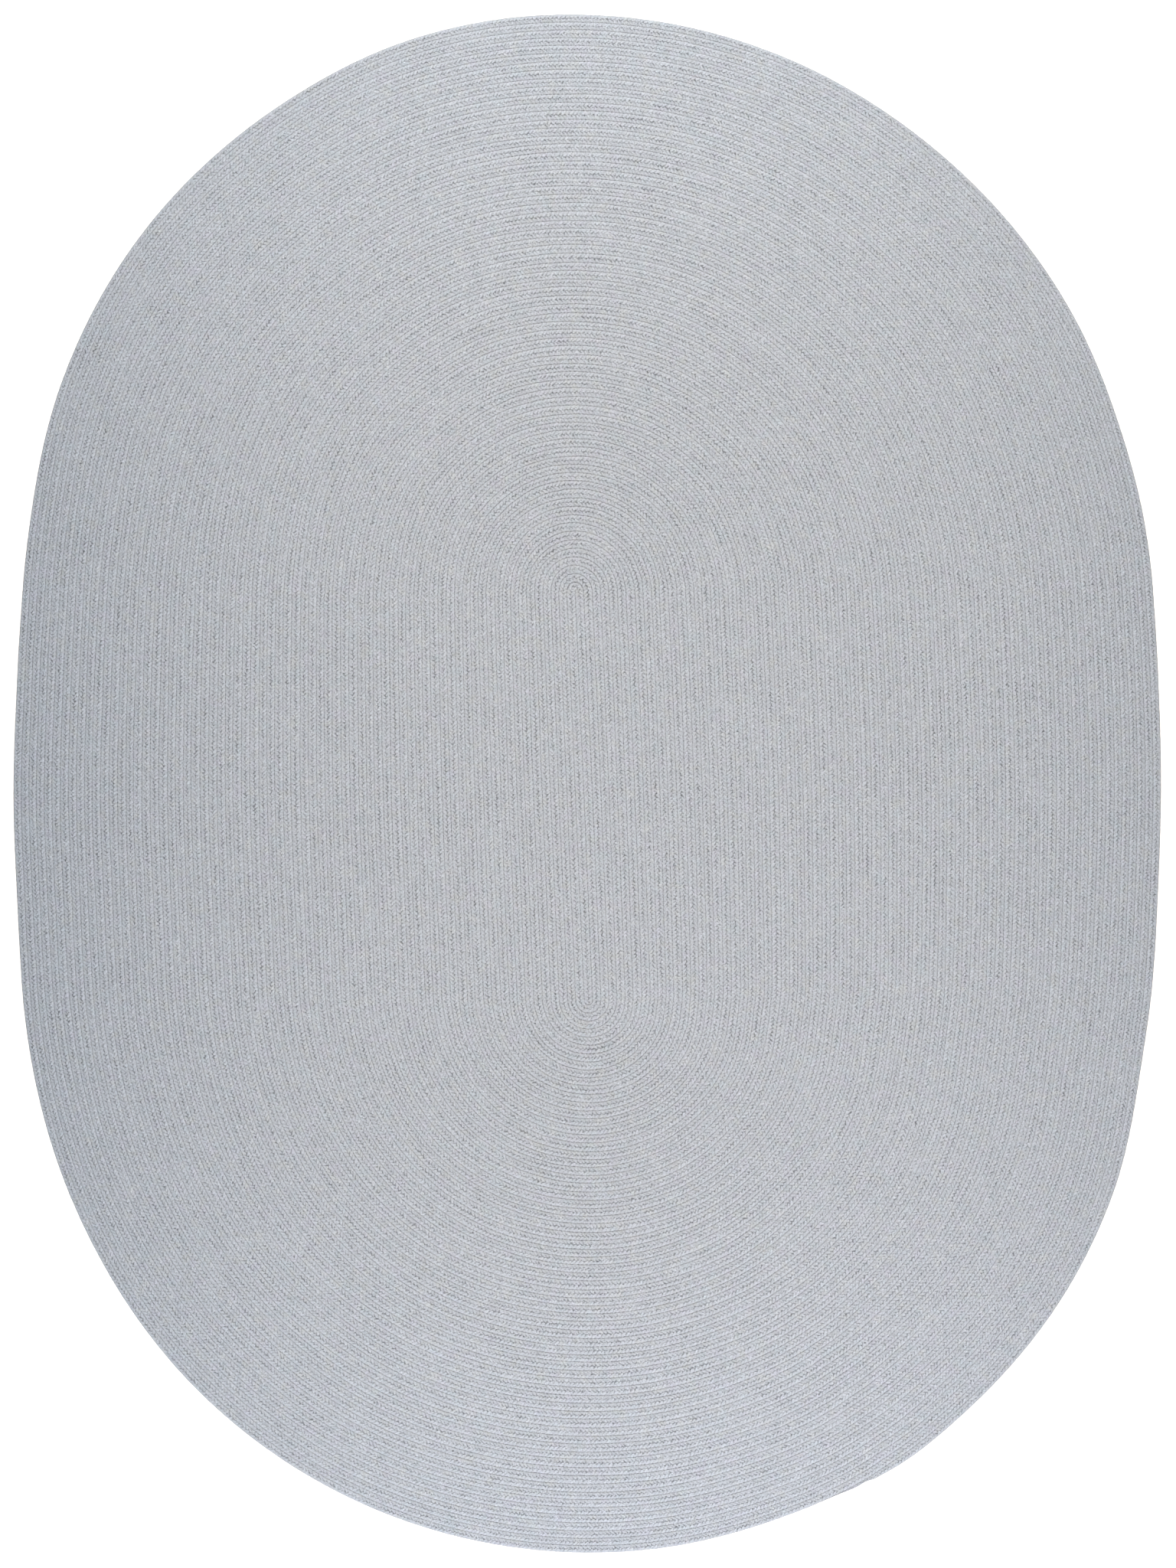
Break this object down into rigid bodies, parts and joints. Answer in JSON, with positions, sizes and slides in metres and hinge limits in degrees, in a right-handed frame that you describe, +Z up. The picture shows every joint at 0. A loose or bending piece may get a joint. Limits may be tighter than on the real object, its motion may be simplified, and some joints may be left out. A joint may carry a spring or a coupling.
{
  "type": "oval braided rug",
  "caption": "Large oval area rug of one flat braid wound in a spiral round a straight centre row, light blue-grey, lies flat on the floor.",
  "frame": {"origin": "centre of the underside, at floor level", "axes": "+X to the right across the rug, +Y along its length towards the picture's top, +Z up off the floor"},
  "size_m": [2.7279, 3.6567, 0.01],
  "materials": {
    "blue_grey_yarn": "matte"
  },
  "bodies": {
    "root": {"braided_rug": "blue_grey_yarn"}
  },
  "joints": []
}
